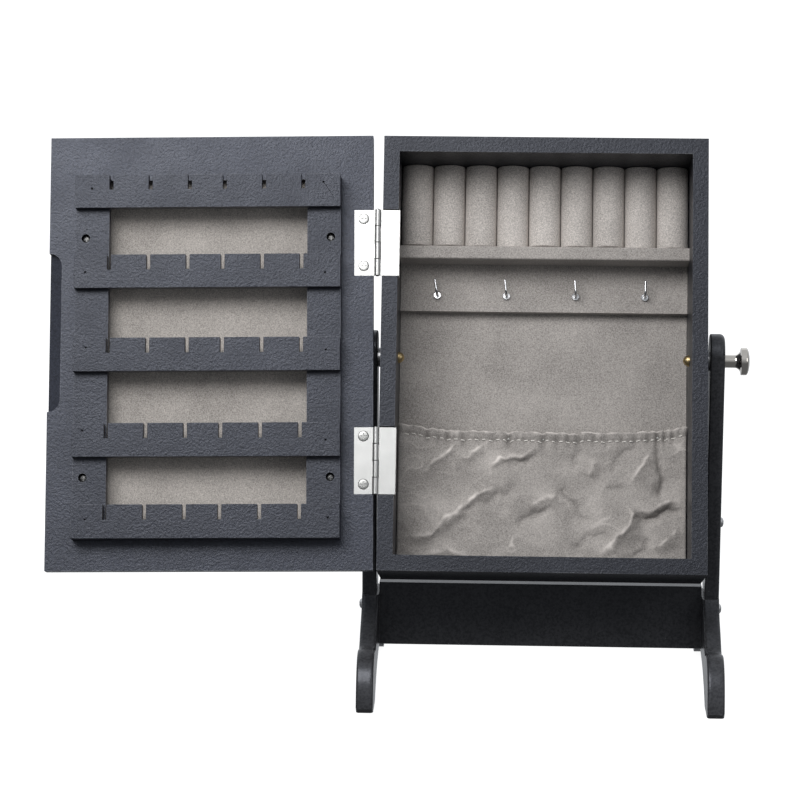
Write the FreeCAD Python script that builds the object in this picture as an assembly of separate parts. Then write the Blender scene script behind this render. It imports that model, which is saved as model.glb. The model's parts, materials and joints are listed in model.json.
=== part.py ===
import FreeCAD, Part

import math
import os

# Tabletop jewelry armoire: a shallow hinged cabinet that tilts between two posts.
# The front faces -Y and +X is to the right. The floor is at Z = 0.
# Everything is built around the middle plane of the stand and moved once, at the end,
# so that the origin is on the floor at the middle of the overall width.

# --- cabinet ---
cabinet_width = 217.0
cabinet_height = 292.0
cabinet_depth = 72.0
board = 10.5               # thickness of the four cabinet boards
back_thickness = 3.0
back_rebate = 4.0          # how far the back panel is let into the boards
lining_thickness = 5.0     # velvet-wrapped board inside the back panel
lining_clearance = 0.2
tilt_at_rest = 19.7        # degrees the cabinet leans back
pivot_above_middle = 1.2

# --- stand ---
side_gap = 3.0             # room for a washer between cabinet side and post
post_thickness = 10.0
post_width = 28.0
post_above_pivot = 18.5
post_edge_round = 1.2      # inner face
post_outer_round = 3.6     # outer face
foot_step = 1.5            # how much thicker the foot is than the post
foot_half_length = 95.0
foot_edge_round = 2.0
crest_height = 60.0        # the foot's shoulder, on which the post stands
crest_width = 30.0
valley_height = 33.0
toe_height = 37.0
toe_pad = 30.0             # length of each toe that rests on the floor
arch_height = 22.0
foot_fall = ((0.18, 0.36), (0.45, 0.65), (0.78, 0.985))           # shares of the way out and down
foot_toe = ((0.983, 0.989), (0.40, 0.82), (0.11, 0.44), (0, 0.10))  # shares of toe pad and height
tenon_thickness = 4.0
tenon_width = 18.0
tenon_height = 64.0
stretcher_thickness = 11.0
stretcher_bottom = 22.4
stretcher_height = 44.0
stretcher_edge_round = 1.0
swing_clearance = 0.6      # closed cabinet to stretcher as it tilts past
post_screw_rise = 50.5     # above the crest
foot_screw_drop = 10.3     # below the crest
post_screw_stop = 2.0      # its tip to the post's inner face
foot_screw_bite = 24.0     # into the stretcher
screw_shank = 1.5          # radii
screw_head = 3.4
screw_head_height = 2.6
recess_arm = 0.6           # cross recess, shares of the head's radius
recess_width = 0.12
recess_depth = 0.8
dowel_radius = 3.0
dowel_length = 14.0
dowel_rise = 12.0          # above the stretcher's lower edge

# --- tilt pivot and knobs ---
bolt_radius = 2.0
running_clearance = 0.05
bolt_head_radius = 3.9
bolt_head_height = 4.2
washer_radius = 6.5
washer_play = 0.1
knob_base_radius = 4.35
knob_base_length = 6.6
knob_flare_length = 4.2
knob_head_radius = 9.3
knob_rim = 3.4
knob_dome = 2.6
knob_gap = 0.3             # knob to post
knob_thread = 9.0          # length of bolt inside the knob

# --- door ---
door_gap = 1.5             # closed door to cabinet front
door_thickness = 11.0
hinge_side_gap = 4.8       # door edge to cabinet side when fully open
door_droop = 1.0           # degrees the open door hangs out of line
mirror_border = 18.0
mirror_thickness = 2.5
door_lining_thickness = 1.5
door_lining_overlap = 9.0  # lining reaches this far under each stile
door_lining_short = (4.0, 0.5)   # lining stops short of the rack's lower and upper ends
pull_length = 107.0
pull_width = 8.5
pull_depth = (1.5, 7.0)     # at its inner side and at the door edge
pull_above_middle = 13.5

# --- slat rack on the inside of the door ---
rack_bottom = 20.0
rack_top_margin = 29.1     # top slat to the door's upper edge
rack_free_margin = 18.8    # free edge of the door to the rack
rack_hinge_margin = 21.2
stile_width = 22.3
stile_thickness = 8.0
slat_thickness = 6.0
slat_height = 22.5
slat_rise = (0.1, -1.1, 0.8, 1.6, 0.7)    # set by hand, bottom slat first
notch_shift = (2.1, 1.9, 1.3, 1.3, 0.3)   # towards the free edge, bottom slat first
notch_width = 2.5
notch_depth = 10.0
notch_pitch = 26.2
notch_middle_pitch = 23.3
rack_screw_inset = 6.7     # from the rack's outer edge
rack_screw_places = ((0, 18.5), (3, 13.8))   # slat below, and the height above its top
rack_screw_head = 2.9
rack_screw_head_height = 1.1
rack_screw_sink = 3.2
rack_screw_bite = 5.0      # into the door board
brad_radius = 0.6
brad_sink = 1.6            # below the slat's face
brad_bite = 5.0            # into the stile
# each brad's inset from the slat's end and drop below its top, bottom slat first
brad_free = ((9.5, 10.0), (7.1, 5.0), (8.5, 6.6), (7.4, 11.9), (11.2, 9.4))
brad_hinge = ((7.7, 9.2), (9.3, 11.8), (9.4, 8.8), (10.1, 12.9), (11.3, 6.0))

# --- hinges ---
hinge_length = 45.0
hinge_spread = 73.2        # from the cabinet's mid-height
leaf_thickness = 1.0
leaf_width = 12.5
leaf_return = 12.0         # leg of the cabinet leaf on the inner wall
knuckle_radius = 1.9
knuckle_count = 4
knuckle_play = 0.6
knuckle_relief = 0.4
hinge_pin_radius = 1.0
hinge_pin_proud = 0.6
leaf_screw_spread = 16.0
leaf_screw_inset = 6.3
leaf_screw_head = 3.2
leaf_screw_crown = 0.15    # proud of the leaf
leaf_screw_play = 0.35     # round the head
leaf_bed_gap = (0.4, 0.9)  # below and above the cabinet leaf in its bed
leaf_bed_groove = 3.0      # the chisel went this deep at the ends
leaf_screw_length = 8.0

# --- fittings inside the cabinet ---
roll_count = 9
roll_front = 39.5          # depth behind the cabinet's front edge
roll_play = 0.15
roll_height = 57.35
shelf_front = 33.0
shelf_thickness = 9.0
shelf_round = 1.3
hook_board_thickness = 8.0
hook_board_height = 32.3
hook_pitch = 47.2
hook_count = 4
hook_shift = -2.0
hook_above_board_foot = 10.8
hook_rod = 0.85
hook_collar_radius = 2.7
hook_collar_length = 1.4
hook_lean = (9.0, 6.0, 4.0, -1.0)   # degrees each hook is turned towards the hinges
hook_reach = 9.0
hook_bend = 3.0
hook_upright = 6.5
hook_thread = 6.0
pocket_rise = 94.0
pocket_reach = 15.0        # front of the pocket to the lining
pocket_wall = 2.0
pocket_clearance = 0.5
elastic_height = 6.0
elastic_thickness = 0.8
elastic_below_top = 3.0

# --- derived places ---
half_width = cabinet_width / 2
half_inner = half_width - board
lining_depth = cabinet_depth - back_thickness - lining_thickness
pivot_depth = cabinet_depth / 2
pivot_rise = cabinet_height / 2 + pivot_above_middle
stretcher_top = stretcher_bottom + stretcher_height
swing_radius = math.hypot(pivot_rise, pivot_depth + door_gap + door_thickness)
pivot_height = stretcher_top + swing_radius + swing_clearance
foot_thickness = post_thickness + foot_step
post_inner = half_width + side_gap
post_outer = post_inner + post_thickness
post_middle = post_outer - post_thickness / 2
foot_inner = post_outer - foot_thickness
hinge_x = -half_width - hinge_side_gap / 2
hinge_y = -door_gap / 2
roll_top = cabinet_height - board - roll_play
shelf_top = roll_top - roll_height
shelf_rise = shelf_top - shelf_thickness
slat_pitch = (cabinet_height - rack_bottom - rack_top_margin - slat_height) / (len(slat_rise) - 1)

X = FreeCAD.Vector(1, 0, 0)
Y = FreeCAD.Vector(0, 1, 0)
Z = FreeCAD.Vector(0, 0, 1)
pieces = {}


def point(x, y, z):
    return FreeCAD.Vector(x, y, z)


def block(x0, x1, y0, y1, z0, z1):
    return Part.makeBox(x1 - x0, y1 - y0, z1 - z0, point(x0, y0, z0))


def rod(radius, length, start, direction):
    return Part.makeCylinder(radius, length, start, direction)


def prism(corners, travel):
    """A flat outline of straight edges, pushed along a vector."""
    wire = Part.makePolygon(list(corners) + [corners[0]])
    return Part.Face(wire).extrude(travel)


def turned(outline, start, direction):
    """A closed outline of (distance, radius) turned about its own axis, then aimed."""
    points = [point(r, 0, d) for d, r in outline]
    wire = Part.makePolygon(points + [points[0]])
    solid = Part.Face(wire).revolve(point(0, 0, 0), Z, 360)
    solid.Placement = FreeCAD.Placement(start, FreeCAD.Rotation(Z, direction))
    return solid


def dome(distance, radius, height, steps=8):
    """Points over a shallow dome, from its rim at the given distance to the axis."""
    points = []
    for i in range(1, steps + 1):
        angle = math.pi / 2 * i / steps
        points.append((distance + height * math.sin(angle), radius * math.cos(angle)))
    points[-1] = (distance + height, 0)
    return points


def tilted(shape):
    """From the cabinet's own frame to its rest position between the posts."""
    moved = shape.copy()
    moved.translate(point(0, -pivot_depth, -pivot_rise))
    moved.rotate(point(0, 0, 0), X, -tilt_at_rest)
    moved.translate(point(0, 0, pivot_height))
    return moved


hinge_middle = point(hinge_x, hinge_y, cabinet_height / 2)
hinge_axis = FreeCAD.Rotation(Y, -door_droop / 2).multVec(Z)


def canted(shape):
    """Leans a shape built on the upright hinge line onto the real, drooping one."""
    moved = shape.copy()
    moved.rotate(hinge_middle, Y, -door_droop / 2)
    return moved


def opened(shape):
    """From the closed door to the rest position, swung half a turn open."""
    moved = shape.copy()
    moved.rotate(hinge_middle, hinge_axis, -180)
    return tilted(moved)


def mirrored(shape):
    return shape.mirror(point(0, 0, 0), X)


def cross_recess(face, direction, head_radius):
    """The driver's recess of a cross-head screw, to cut from a head whose face looks along direction."""
    arm = recess_arm * head_radius
    width = recess_width * head_radius
    cross = block(-arm, arm, -width, width, -recess_depth, 1)
    cross = cross.fuse(block(-width, width, -arm, arm, -recess_depth, 1))
    cross.Placement = FreeCAD.Placement(face, FreeCAD.Rotation(Z, direction))
    return cross


def edges_along(shape, direction, at=None):
    """Straight edges parallel to a direction, kept when the test on their middle holds."""
    found = []
    for edge in shape.Edges:
        if edge.Curve.TypeId != "Part::GeomLine":
            continue
        if abs(edge.tangentAt(edge.FirstParameter).dot(direction)) < 0.999:
            continue
        if at is None or at(edge.CenterOfMass):
            found.append(edge)
    return found


# ---------------------------------------------------------------- stand

def make_foot():
    """Right foot: a sawn board with a round toe at each end, an arch and a tenon."""
    half = foot_half_length
    slope = half - toe_pad - crest_width / 2
    fall = crest_height - valley_height
    upper = [point(0, -crest_width / 2, crest_height)]
    for out, down in foot_fall:
        upper.append(point(0, -crest_width / 2 - out * slope, crest_height - down * fall))
    for back, up in foot_toe:
        upper.append(point(0, -half + back * toe_pad, up * toe_height))
    front = Part.BSplineCurve()
    front.interpolate(upper)
    back = Part.BSplineCurve()
    back.interpolate([point(0, -p.y, p.z) for p in reversed(upper)])
    heel = half - toe_pad
    toe_round = upper[-1].z
    lines = [
        front.toShape(),
        Part.makeLine(upper[-1], point(0, -half + toe_round, 0)),
        Part.makeLine(point(0, -half + toe_round, 0), point(0, -heel, 0)),
        Part.Arc(point(0, -heel, 0), point(0, 0, arch_height), point(0, heel, 0)).toShape(),
        Part.makeLine(point(0, heel, 0), point(0, half - toe_round, 0)),
        Part.makeLine(point(0, half - toe_round, 0), point(0, half, upper[-1].z)),
        back.toShape(),
        Part.makeLine(point(0, crest_width / 2, crest_height), upper[0]),
    ]
    foot = Part.Face(Part.Wire(Part.__sortEdges__(lines))).extrude(X * foot_thickness)
    foot.translate(X * foot_inner)
    curved = [e for e in foot.Edges if e.Curve.TypeId == "Part::GeomBSplineCurve"]
    rims = [e for e in curved if abs(e.BoundBox.XLength) < 1e-6]
    rims += [e for e in foot.Edges if e.BoundBox.XLength < 1e-6 and 0.5 < e.BoundBox.ZLength < toe_round + 0.5]
    foot = foot.makeFillet(foot_edge_round, rims)
    tenon = block(
        post_middle - tenon_thickness / 2, post_middle + tenon_thickness / 2,
        -tenon_width / 2, tenon_width / 2,
        crest_height - 1, crest_height + tenon_height)
    return foot.fuse(tenon).removeSplitter()


def make_post():
    """Right post: a flat board with a half-round top, mortised over the foot's tenon."""
    radius = post_width / 2
    top = pivot_height + post_above_pivot
    post = block(post_inner, post_outer, -radius, radius, crest_height, top - radius)
    post = post.fuse(rod(radius, post_thickness, point(post_inner, 0, top - radius), X)).removeSplitter()
    for face, size in ((post_inner, post_edge_round), (post_outer, post_outer_round)):
        flat = [e for e in post.Edges if e.BoundBox.XLength < 1e-6 and abs(e.CenterOfMass.x - face) < 1e-6]
        post = post.makeFillet(size, [e for e in flat if e.BoundBox.ZLength > 1])
    mortise = block(
        post_middle - tenon_thickness / 2, post_middle + tenon_thickness / 2,
        -tenon_width / 2, tenon_width / 2,
        crest_height, crest_height + tenon_height)
    bore = rod(bolt_radius + running_clearance, post_thickness, point(post_inner, 0, pivot_height), X)
    return post.cut(mortise).cut(bore)


def make_stand_screw(height, length):
    """Pan-head cross screw driven in from the right."""
    start = point(post_outer, 0, height)
    head_side = [(0, 0), (0, screw_head), (0.35 * screw_head_height, screw_head)]
    outline = head_side + dome(0.35 * screw_head_height, screw_head, 0.65 * screw_head_height)
    screw = turned(outline, start, X)
    screw = screw.fuse(rod(screw_shank, length, start, X * -1)).removeSplitter()
    return screw.cut(cross_recess(start + X * screw_head_height, X, screw_head))


post_screw_height = crest_height + post_screw_rise
foot_screw_height = crest_height - foot_screw_drop
dowel_height = stretcher_bottom + dowel_rise

post_screw = make_stand_screw(post_screw_height, post_thickness - post_screw_stop)
foot_screw = make_stand_screw(foot_screw_height, foot_thickness + foot_screw_bite)
dowel = rod(dowel_radius, dowel_length, point(foot_inner - dowel_length / 2, 0, dowel_height), X)

foot = make_foot().cut(post_screw).cut(foot_screw).cut(dowel)
post = make_post().cut(post_screw)
stretcher = block(
    -foot_inner, foot_inner, -stretcher_thickness / 2, stretcher_thickness / 2,
    stretcher_bottom, stretcher_top)
stretcher = stretcher.makeFillet(stretcher_edge_round, edges_along(stretcher, X))
for fixing in (foot_screw, dowel):
    stretcher = stretcher.cut(fixing).cut(mirrored(fixing))

stand_pairs = {"foot": foot, "post": post, "post_screw": post_screw, "foot_screw": foot_screw}
for name, shape in stand_pairs.items():
    pieces[name + "_right"] = shape
    pieces[name + "_left"] = mirrored(shape)
pieces["stretcher"] = stretcher
pieces["stretcher_dowels"] = Part.makeCompound([dowel, mirrored(dowel)])

# ---------------------------------------------------------------- cabinet boards

along_depth = Y * cabinet_depth
side = prism([
    point(half_width, 0, 0), point(half_inner, 0, board),
    point(half_inner, 0, cabinet_height - board), point(half_width, 0, cabinet_height)], along_depth)
bottom_board = prism([
    point(-half_width, 0, 0), point(half_width, 0, 0),
    point(half_inner, 0, board), point(-half_inner, 0, board)], along_depth)
top_board = prism([
    point(-half_width, 0, cabinet_height), point(-half_inner, 0, cabinet_height - board),
    point(half_inner, 0, cabinet_height - board), point(half_width, 0, cabinet_height)], along_depth)
back_panel = block(
    -half_inner - back_rebate, half_inner + back_rebate,
    cabinet_depth - back_thickness, cabinet_depth,
    board - back_rebate, cabinet_height - board + back_rebate)
back_lining = block(
    -half_inner + lining_clearance, half_inner - lining_clearance,
    lining_depth, lining_depth + lining_thickness,
    board + lining_clearance, cabinet_height - board - lining_clearance)

# The pivot bolt goes through the side from inside, its domed head against the wall.
pivot = point(half_inner, pivot_depth, pivot_rise)
bolt_length = board + side_gap + post_thickness + knob_gap + knob_thread
head_outline = [(0, 0), (0, bolt_head_radius)] + dome(0, bolt_head_radius, bolt_head_height)
pivot_bolt = turned(head_outline, pivot, X * -1)
pivot_bolt = pivot_bolt.fuse(rod(bolt_radius, bolt_length, pivot, X)).removeSplitter()
washer = rod(washer_radius, side_gap - washer_play, point(half_width, pivot_depth, pivot_rise), X)
washer = washer.cut(rod(bolt_radius, board, point(half_width, pivot_depth, pivot_rise), X))
side = side.cut(back_panel).cut(rod(bolt_radius, board, pivot, X))

# ---------------------------------------------------------------- hinges

door_face = -door_gap
door_back = door_face - door_thickness
step = hinge_length / knuckle_count


def barrel(radius, low, high):
    """Part of the hinge line, measured from the foot of one hinge."""
    return rod(radius, high - low, point(hinge_x, hinge_y, low), Z)


def make_leaf_screw(face, outwards):
    """An oval countersunk screw in a hinge leaf: its seat, and itself with its recess."""
    inner = leaf_screw_head - leaf_thickness
    shank = rod(screw_shank, leaf_screw_length, face, outwards * -1)
    wide = leaf_screw_head + leaf_screw_play
    seat = turned([(0, 0), (0, wide), (leaf_thickness, inner), (leaf_thickness, 0)], face, outwards * -1)
    cone = [(0, 0), (0, leaf_screw_head), (leaf_thickness, inner), (leaf_thickness, 0)]
    crown = [(0, 0), (0, leaf_screw_head)] + dome(0, leaf_screw_head, leaf_screw_crown)
    head = turned(cone, face, outwards * -1).fuse(turned(crown, face, outwards))
    screw = head.fuse(shank).removeSplitter()
    recess = cross_recess(face + outwards * leaf_screw_crown, outwards, leaf_screw_head)
    return seat.fuse(shank).removeSplitter(), screw.cut(recess)


def make_hinge(middle):
    """Cabinet leaf, door leaf, pin and the two sets of screws, with the door closed."""
    foot_of_hinge = middle - hinge_length / 2
    up = Z * foot_of_hinge
    room = knuckle_radius + knuckle_relief
    knuckles = []
    around = []
    for i in range(knuckle_count):
        knuckles.append(barrel(knuckle_radius, i * step, (i + 1) * step - knuckle_play))
        around.append(barrel(room, i * step - 2 * knuckle_play, (i + 1) * step + knuckle_play))

    inner_wall = -half_inner
    leaf_length = hinge_length - knuckle_play
    plate = block(hinge_x, inner_wall + leaf_thickness, 0, leaf_thickness, 0, leaf_length)
    plate_bed = plate.copy()
    for low, high in ((-leaf_bed_gap[0], 0), (leaf_length, leaf_length + leaf_bed_gap[1])):
        groove = block(hinge_x, inner_wall + leaf_thickness, 0, leaf_bed_groove, low, high)
        plate_bed = plate_bed.fuse(groove)
    leg = block(inner_wall, inner_wall + leaf_thickness, 0, leaf_return, 0, leaf_length)
    frame_leaf = plate.fuse(leg)
    door_leaf = block(
        hinge_x, -half_width + leaf_width, door_face - leaf_thickness, door_face, 0, leaf_length)
    door_bed = door_leaf.copy()
    screws_frame = []
    screws_door = []
    for side_step in (-leaf_screw_spread, leaf_screw_spread):
        height = foot_of_hinge + hinge_length / 2 + side_step
        into_wall = point(inner_wall + leaf_thickness, leaf_screw_inset, height)
        screws_frame.append(make_leaf_screw(into_wall, X))
        into_door = point(-half_width + leaf_screw_inset, door_face, height)
        screws_door.append(make_leaf_screw(into_door, Y))

    moved = {}
    for name, plain, first, screws, bore in (
            ("frame", frame_leaf, 0, screws_frame, hinge_pin_radius),
            ("door", door_leaf, 1, screws_door, hinge_pin_radius + running_clearance)):
        leaf = plain.copy()
        leaf.translate(up)
        for cutter in around[1 - first::2]:
            cutter.translate(up)
            leaf = leaf.cut(canted(cutter))
        for knuckle in knuckles[first::2]:
            knuckle.translate(up)
            leaf = leaf.fuse(canted(knuckle))
        hole = barrel(bore, -1, hinge_length + 1)
        hole.translate(up)
        leaf = leaf.cut(canted(hole))
        for seat, screw in screws:
            leaf = leaf.cut(seat)
        moved[name] = leaf.removeSplitter()
    pin = barrel(hinge_pin_radius, -hinge_pin_proud, leaf_length + hinge_pin_proud)
    pin.translate(up)
    relief = barrel(room, -hinge_pin_proud, leaf_length + hinge_pin_proud)
    relief.translate(up)
    plate_bed.translate(up)
    door_bed.translate(up)
    beds = (canted(relief), plate_bed, door_bed)
    return moved["frame"], moved["door"], canted(pin), beds, screws_frame, screws_door


door_board = block(-half_width, half_width, door_back, door_face, 0, cabinet_height)
side_left = mirrored(side)
hinge_screws_frame = []
hinge_screws_door = []
for name, middle in (
        ("upper", cabinet_height / 2 + hinge_spread),
        ("lower", cabinet_height / 2 - hinge_spread)):
    frame_leaf, door_leaf, pin, beds, screws_frame, screws_door = make_hinge(middle)
    relief, plate_bed, door_bed = beds
    side_left = side_left.cut(relief).cut(plate_bed)
    door_board = door_board.cut(relief).cut(door_bed)
    for seat, screw in screws_frame:
        side_left = side_left.cut(seat)
        hinge_screws_frame.append(screw)
    for seat, screw in screws_door:
        door_board = door_board.cut(seat)
        hinge_screws_door.append(screw)
    pieces["hinge_frame_leaf_" + name] = tilted(frame_leaf)
    pieces["hinge_pin_" + name] = tilted(pin)
    pieces["hinge_door_leaf_" + name] = opened(door_leaf)
pieces["hinge_frame_screws"] = tilted(Part.makeCompound(hinge_screws_frame))
pieces["hinge_door_screws"] = opened(Part.makeCompound(hinge_screws_door))

pieces["side_right"] = tilted(side)
pieces["side_left"] = tilted(side_left)
pieces["top_board"] = tilted(top_board.cut(back_panel))
pieces["bottom_board"] = tilted(bottom_board.cut(back_panel))
pieces["back_panel"] = tilted(back_panel)
pieces["back_lining"] = tilted(back_lining)
for name, shape in (("pivot_bolt", pivot_bolt), ("pivot_washer", washer)):
    pieces[name + "_right"] = tilted(shape)
    pieces[name + "_left"] = tilted(mirrored(shape))

# ---------------------------------------------------------------- inside the cabinet

fitting_half = half_inner - lining_clearance
shelf = block(-fitting_half, fitting_half, shelf_front, lining_depth, shelf_rise, shelf_top)
shelf = shelf.makeFillet(shelf_round, edges_along(shelf, X, lambda c: c.y < shelf_front + 1))
pieces["ring_shelf"] = tilted(shelf)

roll_pitch = 2 * fitting_half / roll_count
roll_radius = roll_pitch / 2 - roll_play
roll_middle = roll_front + roll_radius
for i in range(roll_count):
    across = -fitting_half + (i + 0.5) * roll_pitch
    roll = rod(roll_radius, roll_top - shelf_top, point(across, roll_middle, shelf_top), Z)
    back_of_roll = block(
        across - roll_radius, across + roll_radius, roll_middle, lining_depth, shelf_top, roll_top)
    behind = block(
        across - roll_pitch, across + roll_pitch,
        lining_depth, lining_depth + roll_pitch, shelf_top, roll_top)
    pieces["ring_roll_%d" % (i + 1)] = tilted(roll.fuse(back_of_roll).cut(behind).removeSplitter())

hook_board_front = lining_depth - hook_board_thickness
hook_board_foot = shelf_rise - hook_board_height
hook_board = block(-fitting_half, fitting_half, hook_board_front, lining_depth, hook_board_foot, shelf_rise)


def make_hook(across, lean):
    """Shoulder hook: a thread in the board, a dished collar and a rod bent upright."""
    height = hook_board_foot + hook_above_board_foot
    face = point(across, hook_board_front, height)
    thread = rod(hook_rod, hook_thread, face, Y)
    collar = turned([
        (0, 0), (0, hook_collar_radius), (0.6 * hook_collar_length, hook_collar_radius),
        (0.9 * hook_collar_length, 0.94 * hook_collar_radius),
        (hook_collar_length, 0.84 * hook_collar_radius),
        (hook_collar_length, 0.56 * hook_collar_radius),
        (0.2 * hook_collar_length, 0.5 * hook_collar_radius), (0.2 * hook_collar_length, 0)],
        face, Y * -1)
    straight = rod(hook_rod, hook_reach - hook_bend, face, Y * -1)
    bend_start = point(across, hook_board_front - hook_reach + hook_bend, height)
    ring = Part.Face(Part.Wire(Part.makeCircle(hook_rod, bend_start, Y)))
    bend = ring.revolve(bend_start + Z * hook_bend, X * -1, 90)
    upright_start = point(across, hook_board_front - hook_reach, height + hook_bend)
    upright = rod(hook_rod, hook_upright, upright_start, Z)
    tip = Part.makeSphere(hook_rod, upright_start + Z * hook_upright)
    hook = thread.fuse([collar, straight, bend, upright, tip]).removeSplitter()
    hook.rotate(face, Y, -lean)
    return hook


for i in range(hook_count):
    hook = make_hook(hook_shift + (i - (hook_count - 1) / 2) * hook_pitch, hook_lean[i])
    hook_board = hook_board.cut(hook)
    pieces["hook_%d" % (i + 1)] = tilted(hook)
pieces["hook_board"] = tilted(hook_board)

# The gathered pocket: a front and two short returns fixed to the lining, open on top.
pocket_half = half_inner - pocket_clearance
pocket_front = lining_depth - pocket_reach
pocket_foot = board + pocket_clearance
pocket_top = board + pocket_rise
pocket = block(-pocket_half, pocket_half, pocket_front, lining_depth, pocket_foot, pocket_top)
pocket = pocket.cut(block(
    -pocket_half + pocket_wall, pocket_half - pocket_wall,
    pocket_front + pocket_wall, lining_depth,
    pocket_foot + pocket_wall, pocket_top))
elastic_top = pocket_top - elastic_below_top
elastic_front = pocket_front + (pocket_wall - elastic_thickness) / 2
elastic = block(
    -pocket_half, pocket_half, elastic_front, elastic_front + elastic_thickness,
    elastic_top - elastic_height, elastic_top)
pieces["pocket"] = tilted(pocket.cut(elastic))
pieces["pocket_elastic"] = tilted(elastic)

# ---------------------------------------------------------------- door

mirror = block(
    -half_width + mirror_border, half_width - mirror_border,
    door_back, door_back + mirror_thickness,
    mirror_border, cabinet_height - mirror_border)

rack_right = half_width - rack_free_margin
rack_left = -half_width + rack_hinge_margin
rack_top = cabinet_height - rack_top_margin
stile_face = door_face + stile_thickness

# The door board is a frame: the mirror lies in a rebate outside, and the lining against its back.
well = block(
    rack_left + stile_width - door_lining_overlap, rack_right - stile_width + door_lining_overlap,
    door_back + mirror_thickness, door_face,
    rack_bottom + door_lining_short[0], rack_top - door_lining_short[1])
lining_face = door_back + mirror_thickness + door_lining_thickness
above_lining = block(-half_width, half_width, lining_face, door_face + 1, 0, cabinet_height)
door_lining = well.cut(above_lining)

# Finger pull: a hollow in the free edge with round ends, its floor sloping out to the edge.
pull_low = cabinet_height / 2 + pull_above_middle - pull_length / 2
pull_inner = half_width - pull_width
pull = block(
    pull_inner, half_width + 1, door_back, door_face + 1,
    pull_low + pull_width, pull_low + pull_length - pull_width)
for height in (pull_low + pull_width, pull_low + pull_length - pull_width):
    pull = pull.fuse(rod(pull_width, door_thickness + 1, point(half_width, door_back, height), Y))
slope = Part.makePolygon([
    point(pull_inner, door_face + 2, 0), point(pull_inner, door_face - pull_depth[0], 0),
    point(half_width, door_face - pull_depth[1], 0),
    point(half_width + pull_width, door_face - pull_depth[1], 0),
    point(half_width + pull_width, door_face + 2, 0), point(pull_inner, door_face + 2, 0)])
pull = pull.common(Part.Face(slope).extrude(Z * cabinet_height))

rack_screws = []
rack_bores = []
for across in (rack_left + rack_screw_inset, rack_right - rack_screw_inset):
    for slat_below, above in rack_screw_places:
        rise = rack_bottom + slat_below * slat_pitch + slat_height + above
        seat = point(across, stile_face - rack_screw_sink - rack_screw_head_height, rise)
        head = [(0, 0), (0, rack_screw_head)] + dome(0, rack_screw_head, rack_screw_head_height)
        screw = turned(head, seat, Y)
        shank = stile_thickness - rack_screw_sink - rack_screw_head_height + rack_screw_bite
        screw = screw.fuse(rod(screw_shank, shank, seat, Y * -1)).removeSplitter()
        screw = screw.cut(cross_recess(seat + Y * rack_screw_head_height, Y, rack_screw_head))
        rack_screws.append(screw)
        bore = rod(rack_screw_head, rack_screw_sink + rack_screw_head_height, seat, Y)
        rack_bores.append(bore.fuse(rod(screw_shank, shank, seat, Y * -1)))

notch_offsets = []
for i in range(3):
    notch_offsets += [notch_middle_pitch / 2 + i * notch_pitch, -notch_middle_pitch / 2 - i * notch_pitch]
rack_middle = (rack_left + rack_right) / 2
slat_face = stile_face + slat_thickness
brads = []
brad_holes = []
for i, rise in enumerate(slat_rise):
    low = rack_bottom + i * slat_pitch + rise
    slat = block(rack_left, rack_right, stile_face, slat_face, low, low + slat_height)
    for offset in notch_offsets:
        middle = rack_middle + offset + notch_shift[i]
        slat = slat.cut(block(
            middle - notch_width / 2, middle + notch_width / 2, stile_face, slat_face,
            low + slat_height - notch_depth, low + slat_height))
    for end, inwards, (inset, drop) in ((rack_right, -1, brad_free[i]), (rack_left, 1, brad_hinge[i])):
        mouth = point(end + inwards * inset, slat_face, low + slat_height - drop)
        length = slat_thickness + brad_bite
        brads.append(rod(brad_radius, length - brad_sink, mouth - Y * brad_sink, Y * -1))
        hole = rod(brad_radius, length, mouth, Y * -1)
        brad_holes.append(hole)
        slat = slat.cut(hole)
    pieces["slat_%d" % (i + 1)] = opened(slat)

for name, low in (("stile_hinge", rack_left), ("stile_free", rack_right - stile_width)):
    stile = block(low, low + stile_width, door_face, stile_face, rack_bottom, rack_top)
    for hole in rack_bores + brad_holes:
        stile = stile.cut(hole)
    pieces[name] = opened(stile)
for bore in rack_bores:
    door_board = door_board.cut(bore)
door_board = door_board.cut(mirror).cut(well).cut(pull)

pieces["door_board"] = opened(door_board)
pieces["mirror"] = opened(mirror)
pieces["door_lining"] = opened(door_lining)
pieces["rack_screws"] = opened(Part.makeCompound(rack_screws))
pieces["rack_brads"] = opened(Part.makeCompound(brads))

# ---------------------------------------------------------------- knobs

knob_flare = []
for i in range(1, 9):
    share = i / 8
    lift = 1 - math.sqrt(1 - share * share)
    knob_flare.append((
        knob_base_length + share * knob_flare_length,
        knob_base_radius + lift * (knob_head_radius - knob_base_radius)))
rim_end = knob_base_length + knob_flare_length + knob_rim
knob_outline = [(0, 0), (0, knob_base_radius), (knob_base_length, knob_base_radius)] + knob_flare
knob_outline += [(rim_end, knob_head_radius)] + dome(rim_end, knob_head_radius, knob_dome)
knob_start = point(post_outer + knob_gap, 0, pivot_height)
knob = turned(knob_outline, knob_start, X)
knob = knob.cut(rod(bolt_radius + running_clearance, knob_thread + 0.5, knob_start, X))
pieces["knob_right"] = knob
pieces["knob_left"] = mirrored(knob)

# ---------------------------------------------------------------- common origin

left_end = min(shape.BoundBox.XMin for shape in pieces.values())
right_end = max(shape.BoundBox.XMax for shape in pieces.values())
shift = point(-(left_end + right_end) / 2, 0, 0)

os.makedirs("parts", exist_ok=True)
for name, shape in pieces.items():
    placed = shape.copy()
    placed.translate(shift)
    placed.exportStep("parts/" + name + ".step")

print("pieces", len(pieces))
print("stand middle plane x", round(shift.x, 3))
print("pivot", round(shift.x, 3), 0, round(pivot_height, 3))
hinge_place = hinge_middle - point(0, pivot_depth, pivot_rise)
lean = FreeCAD.Rotation(X, -tilt_at_rest)
hinge_place = lean.multVec(hinge_place) + Z * pivot_height + shift
print("hinge", [round(c, 3) for c in hinge_place], [round(c, 6) for c in lean.multVec(hinge_axis)])
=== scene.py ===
import json
import math

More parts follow.
